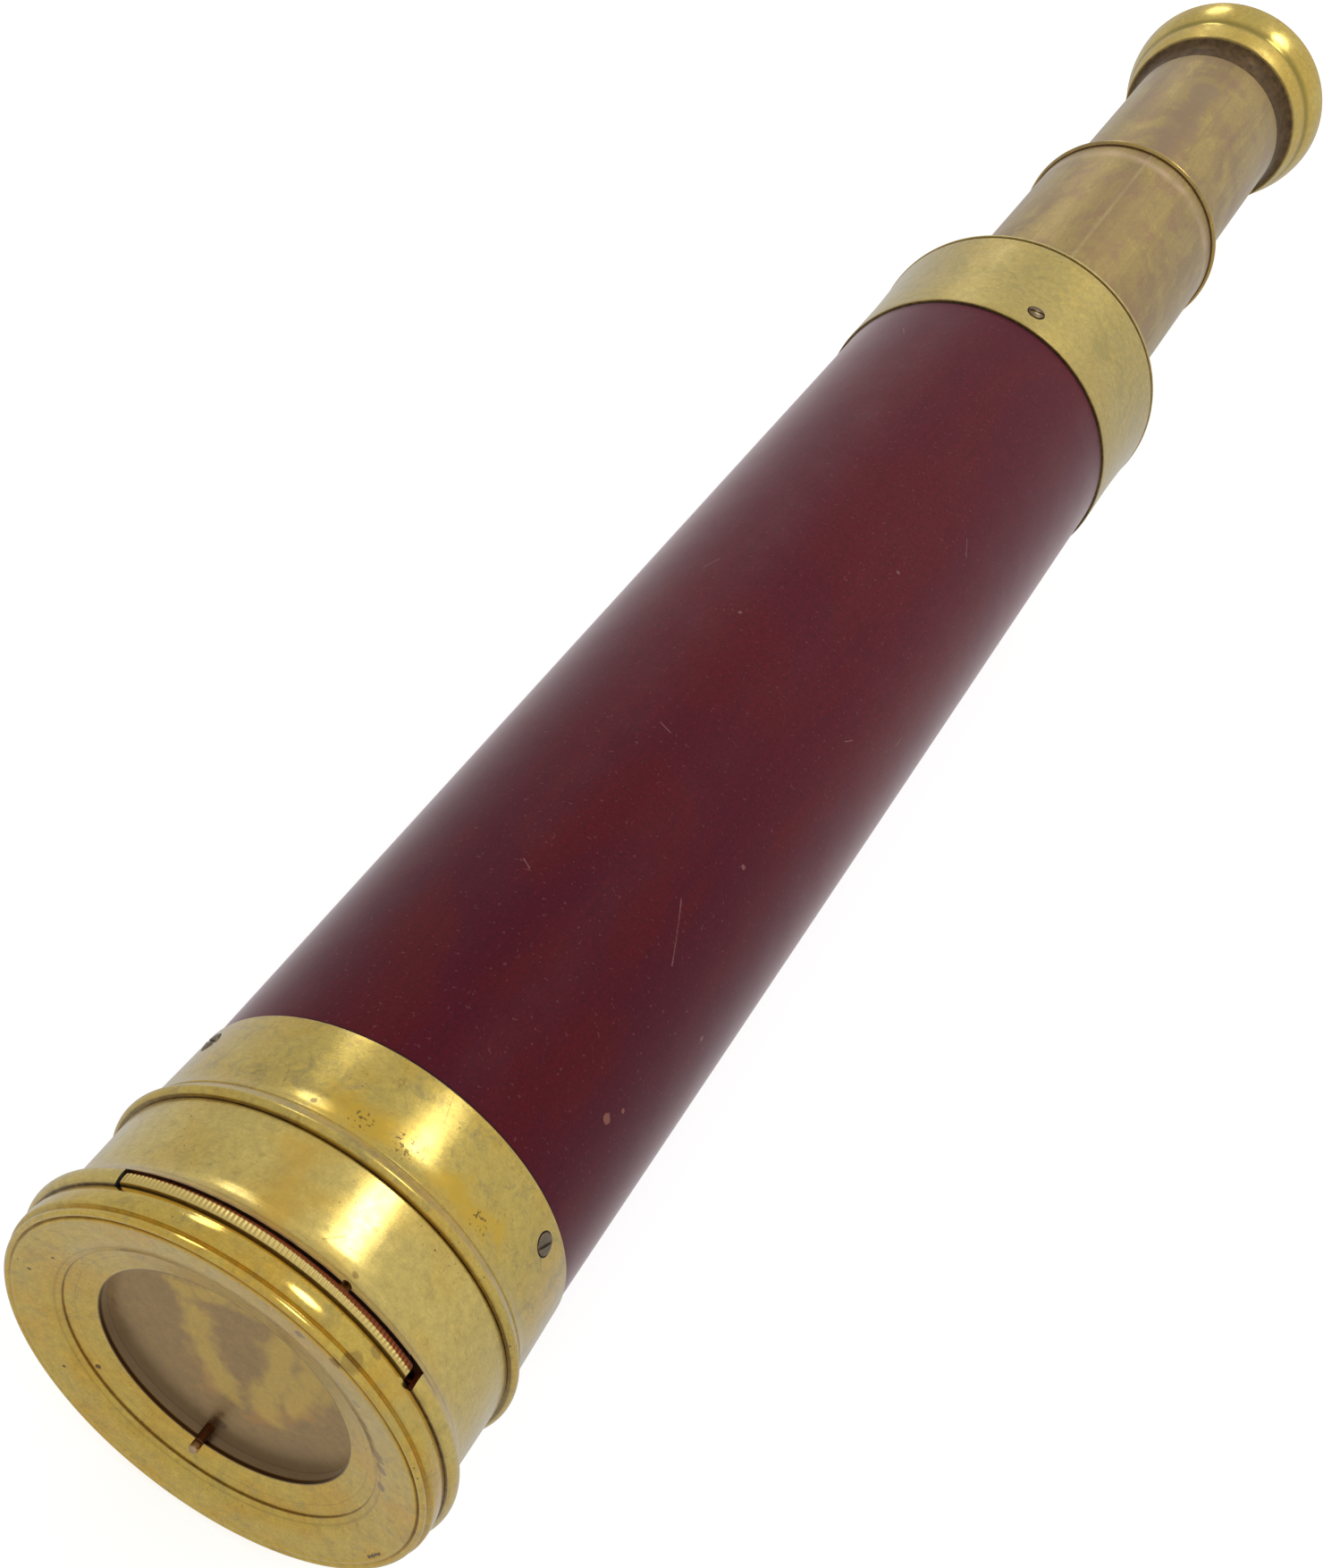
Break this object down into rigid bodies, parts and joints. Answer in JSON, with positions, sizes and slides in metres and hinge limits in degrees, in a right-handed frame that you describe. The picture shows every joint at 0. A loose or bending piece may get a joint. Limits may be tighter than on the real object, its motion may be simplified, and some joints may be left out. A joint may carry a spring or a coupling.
{
  "type": "two-draw hand telescope",
  "caption": "Antique hand telescope with a wooden barrel, two brass draw tubes that slide out, a brass shutter over the objective and a flared eye cup.",
  "frame": {"origin": "centre of the bezel's front rim, on the optical axis", "axes": "-Y out of the objective, +Y along the optical axis to the eyepiece, +Z the way the objective shutter pulls out, +X to the right seen from the eyepiece's far side"},
  "size_m": [0.0636, 0.4182, 0.0632],
  "materials": {
    "brass": "polished, with patina",
    "dull_brass": "dull, with drawing marks and patina",
    "tarnished_brass": "tarnished",
    "mahogany": "dark lacquer",
    "glass": "polished",
    "blackened_brass": "matt black"
  },
  "bodies": {
    "barrel": {"front_bezel": "brass", "shutter_housing": "brass", "objective_ferrule": "brass", "ferrule_screws": "tarnished_brass", "objective_cell": "blackened_brass", "crown_lens": "glass", "flint_lens": "glass", "lens_retaining_ring": "blackened_brass", "barrel": "mahogany", "rear_collar": "dull_brass", "collar_screws": "tarnished_brass", "draw_bush": "dull_brass"},
    "shutter": {"shutter_plate": "tarnished_brass", "shutter_pin": "tarnished_brass"},
    "first_draw": {"first_draw_tube": "dull_brass", "first_draw_stop_ring": "dull_brass", "first_draw_baffle": "blackened_brass", "first_draw_end_ring": "brass"},
    "second_draw": {"second_draw_tube": "dull_brass", "second_draw_stop_ring": "dull_brass", "erector_tube": "blackened_brass", "erector_front_cell": "blackened_brass", "erector_front_lens": "glass", "erector_stop": "blackened_brass", "erector_rear_lens": "glass", "erector_rear_cell": "blackened_brass", "eyepiece_tube": "blackened_brass", "field_lens_ring": "blackened_brass", "field_lens": "glass", "field_stop": "blackened_brass", "eye_lens_cell": "blackened_brass", "eye_lens": "glass", "eye_cup": "brass", "eye_shutter_pivot": "tarnished_brass"},
    "eye_shutter": {"eye_shutter_plate": "dull_brass", "eye_shutter_stud": "tarnished_brass"}
  },
  "joints": [
    {"name": "shutter_slide", "type": "slide", "parent": "barrel", "child": "shutter", "axis": [0, 0, 1], "range_m": [0, 0.034]},
    {"name": "first_draw_slide", "type": "slide", "parent": "barrel", "child": "first_draw", "axis": [0, 1, 0], "range_m": [-0.064, 0.136]},
    {"name": "second_draw_slide", "type": "slide", "parent": "first_draw", "child": "second_draw", "axis": [0, 1, 0], "range_m": [-0.0585, 0.134]},
    {"name": "eye_shutter_swing", "type": "hinge", "parent": "second_draw", "child": "eye_shutter", "pos_m": [-0.0105, 0.4103, 0], "axis": [0, -1, 0], "range_deg": [0, 51]}
  ]
}
